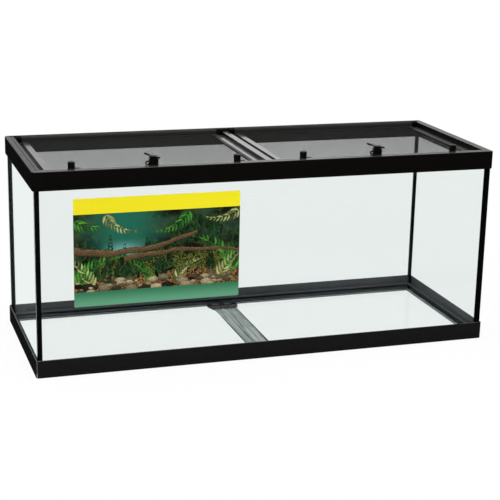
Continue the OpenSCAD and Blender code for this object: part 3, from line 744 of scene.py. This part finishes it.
# %% Laying motifs on the card
PROUD, DOME = 0.06 * MM, 0.05 * MM
SIDE_MARGIN, BORDER_MARGIN = 1.0 * MM, 0.2 * MM
field_low = label_low[2] + GREEN_TO * label_size[2]
field_high = label_low[2] + YELLOW_FROM * label_size[2]


def lay(points, layer):
    """Puts (x, z, dome) points just in front of the card.

    x and z are in parts of the label's width, from the field's lower left corner.
    """
    x = label_low[0] + points[:, 0] * label_size[0]
    z = field_low + points[:, 1] * label_size[0]
    x = np.clip(x, label_low[0] + SIDE_MARGIN, label_high[0] - SIDE_MARGIN)
    z = np.clip(z, field_low + BORDER_MARGIN, field_high - BORDER_MARGIN)
    y = label_low[1] - PROUD * (1.0 + layer) - DOME * points[:, 2]
    return np.c_[x, y, z]


def tinted(dark, light, mix, points, per_motif):
    """Tones between two colours, one per motif, brighter where the motif stands proud."""
    tones = np.array(dark) * (1 - mix[:, None]) + np.array(light) * mix[:, None]
    return np.repeat(tones, per_motif, axis=0) * (0.30 + 0.95 * points[:, 2:3])


def print_leaves(name, growth, layer, dark, light, least):
    """One piece of the leaves that growth gives, each with its own mix of two tones."""
    points, shape = leaves(*growth)
    each = shape[0] * shape[1]
    count = len(points) // each
    tones = tinted(dark, light, rng.uniform(least, 1.0, count), points, each)
    build(name, lay(points, layer), [grid_faces(*shape, count)], motif, "tank", tones)


rng = np.random.default_rng(7)
UNDER_DARK, UNDER_LIGHT = (0.001, 0.006, 0.003), (0.030, 0.105, 0.026)
DEEP, FRESH, PALE = (0.002, 0.020, 0.006), (0.100, 0.42, 0.045), (0.66, 0.74, 0.26)

# %% [markdown]
# ## Growing the thicket
# The undergrowth is a row of small dark ferns at random leans, and at the right some hang from
# above. In front of it stand ten larger ferns, each given in a list: its root, angle, bend,
# length, number of pairs, leaf length and light tone. One piece holds a whole fern, which is
# under a thousand faces.

# %% Undergrowth of small dark ferns
under = []
for x in np.linspace(0.02, 0.98, 26):
    hang = rng.random() < 0.6 and x > 0.56
    root = (x + rng.uniform(-0.02, 0.02), rng.uniform(0.40, 0.47) if hang else rng.uniform(0.02, 0.16))
    lean = rng.uniform(-0.6, 0.6)
    angle = (-np.pi / 2 if hang else np.pi / 2) + lean
    under.append(fern(root, angle, -lean * 0.8, rng.uniform(0.12, 0.22), 9, rng.uniform(0.045, 0.07), rng))
undergrowth = [np.concatenate(column) for column in zip(*under)]
print_leaves("label_undergrowth", undergrowth, 0.0, UNDER_DARK, UNDER_LIGHT, 0.0)

# %% Ferns in front
thickets = [
    ((0.00, 0.01), 1.15, -0.55, 0.34, 13, 0.085, FRESH), ((0.11, 0.00), 1.75, 0.50, 0.27, 11, 0.070, PALE),
    ((0.98, 0.04), 1.75, 0.60, 0.36, 14, 0.085, FRESH), ((0.87, 0.01), 1.25, -0.40, 0.28, 11, 0.075, PALE),
    ((0.47, 0.02), 1.85, 0.50, 0.22, 10, 0.055, FRESH), ((0.60, 0.01), 1.30, -0.55, 0.22, 10, 0.055, PALE),
    ((0.70, 0.48), -1.95, -0.60, 0.24, 11, 0.065, FRESH), ((0.18, 0.48), -1.25, 0.65, 0.22, 11, 0.060, PALE),
    ((-0.01, 0.44), -0.75, 0.55, 0.20, 10, 0.060, FRESH), ((1.01, 0.46), -2.40, -0.50, 0.21, 10, 0.060, PALE),
]
for number, (*growth, light) in enumerate(thickets):
    print_leaves(f"label_fern_{number + 1}", fern(*growth, rng), 0.6, DEEP, light, 0.1)


# %% [markdown]
# ## Boughs and pebbles
# Two boughs lie across the thicket. A tube would be lost in so thin a print, so each is a flat
# ribbon that bulges a little, with bark tones painted along it by sines. The pebbles at the foot
# overlap, and there are many of them in mixed sizes.

# %% Two boughs
def bough(start, end, sag, thick, along=60, across=9):
    """A bough between two points of the label.

    Its middle line hangs by sag times four t times 1 - t and wavers by a small sine, and its half
    thickness tapers towards the end.
    """
    t, v = np.meshgrid(np.linspace(0.0, 1.0, along), np.linspace(-1.0, 1.0, across), indexing="ij")
    x = start[0] + (end[0] - start[0]) * t
    z = start[1] + (end[1] - start[1]) * t - sag * 4 * t * (1 - t) + 0.004 * np.sin(17 * t)
    half = thick * (1.0 - 0.55 * t) * (1.0 + 0.12 * np.sin(29 * t + v))
    return np.stack([x, z + half * v, np.sqrt(1.0 - 0.98 * v * v)], -1).reshape(-1, 3), (along, across)


BARK = np.array([0.34, 0.20, 0.085])
lines = [((-0.01, 0.25), (0.74, 0.33), 0.055, 0.024), ((0.30, 0.185), (1.01, 0.20), -0.03, 0.017)]
for number, line in enumerate(lines):
    points, shape = bough(*line)
    along, dome = points[:, :1], points[:, 2:3]
    lit_side = np.linspace(-1.0, 1.0, shape[1])[None, :].repeat(shape[0], 0).reshape(-1, 1)
    furrow = 0.5 + 0.5 * np.sin(61.0 * along + 5.0 * np.sin(37.0 * along) + 4.0 * lit_side)
    tones = BARK * (0.04 + 0.40 * dome + 0.75 * lit_side.clip(0) * furrow)
    laid = lay(points, 1.5 + number * 0.3)
    build(f"label_bough_{number + 1}", laid, [grid_faces(*shape)], motif, "tank", tones)


# %% Pebbles
def pebbles(count, rng, rings=4, corners=14):
    """Domed ellipses along the field's foot.

    A point is the centre plus the radius times the ring's part, and its dome is the root of one
    minus that part squared, higher on the upper side, where the light falls.
    """
    turns = 2 * np.pi * np.arange(corners) / corners
    part, turn = np.meshgrid(np.linspace(0.02, 1.0, rings), turns, indexing="ij")
    cx = np.sort(rng.uniform(0.02, 0.98, count))
    cz = rng.uniform(-0.004, 0.075, count)
    wide = rng.uniform(0.012, 0.044, count)
    tall = wide * rng.uniform(0.45, 0.65, count)
    x = cx[:, None, None] + wide[:, None, None] * part * np.cos(turn)
    z = cz[:, None, None] + tall[:, None, None] * part * np.sin(turn)
    lit_side = 0.55 + 0.45 * part * np.sin(turn)
    dome = np.broadcast_to(np.sqrt(1.02 - part**2) * lit_side, x.shape)
    return np.stack([x, z, dome], -1).reshape(-1, 3), (rings, corners)


STONES = 64
STONE_DARK, STONE_PALE = (0.016, 0.008, 0.004), (0.78, 0.60, 0.34)
points, shape = pebbles(STONES, rng)
faces = [grid_faces(*shape, STONES, closed=True)]
tones = tinted(STONE_DARK, STONE_PALE, rng.uniform(0.0, 1.0, STONES) ** 1.5, points, shape[0] * shape[1])
build("label_pebbles", lay(points, 2.4), faces, motif, "tank", tones)

# %% [markdown]
# ## The floor
# The photograph's floor is pure white. A lit white plane would only come near that, so for the
# camera's rays, and for rays that have passed through glass, most of the floor is plain white
# light, and near the tank the rest is a lit surface that keeps its faint shadow. Light Path's
# Glossy Depth counts the reflections on a ray's way. A pane's reflection is sharp, so its ray is
# called singular: such rays see the white floor too where it lies beside and behind the tank. The
# blurred reflections in black plastic see a dark floor, because the mouldings in the photograph
# mirror a dark room.

# %% Floor finish
WHITE, DARK_ROOM = (1.0, 1.0, 1.0, 1.0), (0.014, 0.014, 0.014, 1.0)
floor_finish, tree = finish("studio_floor")
rays = tree.add("ShaderNodeLightPath", {}).output.node.outputs
RAY_FACTS = ("Is Camera Ray", "Is Glossy Ray", "Is Singular Ray", "Is Transmission Ray", "Glossy Depth")
camera_ray, glossy, singular, through, bounces = [Socket(tree, rays[name]) for name in RAY_FACTS]
place = tree.place()
behind = tree.parts(place)[1].ramp(-0.30, -0.15)
mirrored = bounces > 0.5
direct = camera_ray.most(through * (1 - mirrored)).most(glossy * singular * behind)
paper = tree.noise(place, 3.0, 2.0)
from_middle = tree.add("ShaderNodeVectorMath", {"operation": "LENGTH"}, place, out="Value")
pure = from_middle.ramp(0.9, 1.6, 0.92, 1.0)
pale = tree.blend(paper.ramp(0.3, 0.7), (0.90, 0.90, 0.90), (0.92, 0.92, 0.92))
lit = tree.add("ShaderNodeBsdfDiffuse", {}, pale)
white = tree.add("ShaderNodeEmission", {}, WHITE, 1.0)
dark = tree.add("ShaderNodeEmission", {}, DARK_ROOM, 1.0)
plain = tree.add("ShaderNodeMixShader", {}, mirrored, lit, dark)
show(tree, tree.add("ShaderNodeMixShader", {}, direct * pure, plain, white))

# %% Floor
FLOOR_HALF, FLOOR_FRONT, FLOOR_BACK, FLOOR_GAP = 12.0, -9.0, 15.0, 0.5 * MM
corners = [
    (-FLOOR_HALF, FLOOR_FRONT, 0), (FLOOR_HALF, FLOOR_FRONT, 0),
    (FLOOR_HALF, FLOOR_BACK, 0), (-FLOOR_HALF, FLOOR_BACK, 0),
]
floor_mesh = bpy.data.meshes.new("studio_floor")
floor_mesh.from_pydata(corners, [], [(0, 1, 2, 3)])
floor_mesh.materials.append(floor_finish)
floor = bpy.data.objects.new("studio_floor", floor_mesh)
floor.location.z = -FLOOR_GAP
scene.collection.objects.link(floor)
print("floor laid", FLOOR_GAP / MM, "mm under the frame")

# %% [markdown]
# ## The light
# The world is white to the camera and through glass. Diffuse surfaces get a soft even light
# from it. Reflections see a bright wall behind the tank and a dark room in front of it, which is
# what turns the rim's flat tops grey and leaves its front black. The wall fades to the left, and
# is brightest a little right of the middle. One broad lamp overhead and a weaker one from the
# front left give the pieces some shape.

# %% World
world = bpy.data.worlds.new("studio")
world.use_nodes = True
scene.world = world
tree = Tree(world.node_tree)
rays = tree.add("ShaderNodeLightPath", {}).output.node.outputs
direct = Socket(tree, rays["Is Camera Ray"]).most(Socket(tree, rays["Is Transmission Ray"]))
glossy = Socket(tree, rays["Is Glossy Ray"])
toward = tree.parts(tree.add("ShaderNodeTexCoord", {}, out="Generated"))
wash = toward[0].ramp(-0.45, 0.1, 0.25, 0.93)
middle = toward[0].ramp(0.16, 0.28, 0.0, 0.37)
right = toward[0].ramp(0.34, 0.44, 0.0, 0.45)
behind = toward[1].ramp(0.1, 0.7, 0.10, 1.0) * (wash + middle - right)
soft, wall, white = (tree.add("ShaderNodeBackground", {}, WHITE, power) for power in (0.55, behind, 1.0))
shown = tree.add("ShaderNodeMixShader", {}, glossy, soft, wall)
show(tree, tree.add("ShaderNodeMixShader", {}, direct, shown, white), "ShaderNodeOutputWorld")


# %% Lamps
def lamp(name, place, aim, size, power):
    """A square area lamp that looks from place to aim."""
    data = bpy.data.lights.new(name, "AREA")
    data.size, data.energy = size, power
    light = bpy.data.objects.new(name, data)
    back = np.array(place) - np.array(aim)
    back = back / np.linalg.norm(back)
    side = np.cross([0.0, 1.0, 0.0], back)
    side = side / np.linalg.norm(side)
    turn = np.column_stack([side, np.cross(back, side), back])
    light.matrix_world = Matrix.Translation(place) @ Matrix(turn.tolist()).to_4x4()
    light.visible_camera = False
    scene.collection.objects.link(light)
    return light


TANK_MIDDLE = (0.0, 0.0, 0.3)
overhead = lamp("overhead", (-0.4, -0.3, 3.2), TANK_MIDDLE, size=3.0, power=75.0)
side_fill = lamp("side_fill", (-1.8, -3.8, 2.2), TANK_MIDDLE, size=1.6, power=26.0)
print("lamps", overhead.data.energy, side_fill.data.energy)

# %% [markdown]
# ## Colour and the last line
# The Standard view transform shows colours as they are written.

# %% Finish
scene.view_settings.view_transform = "Standard"
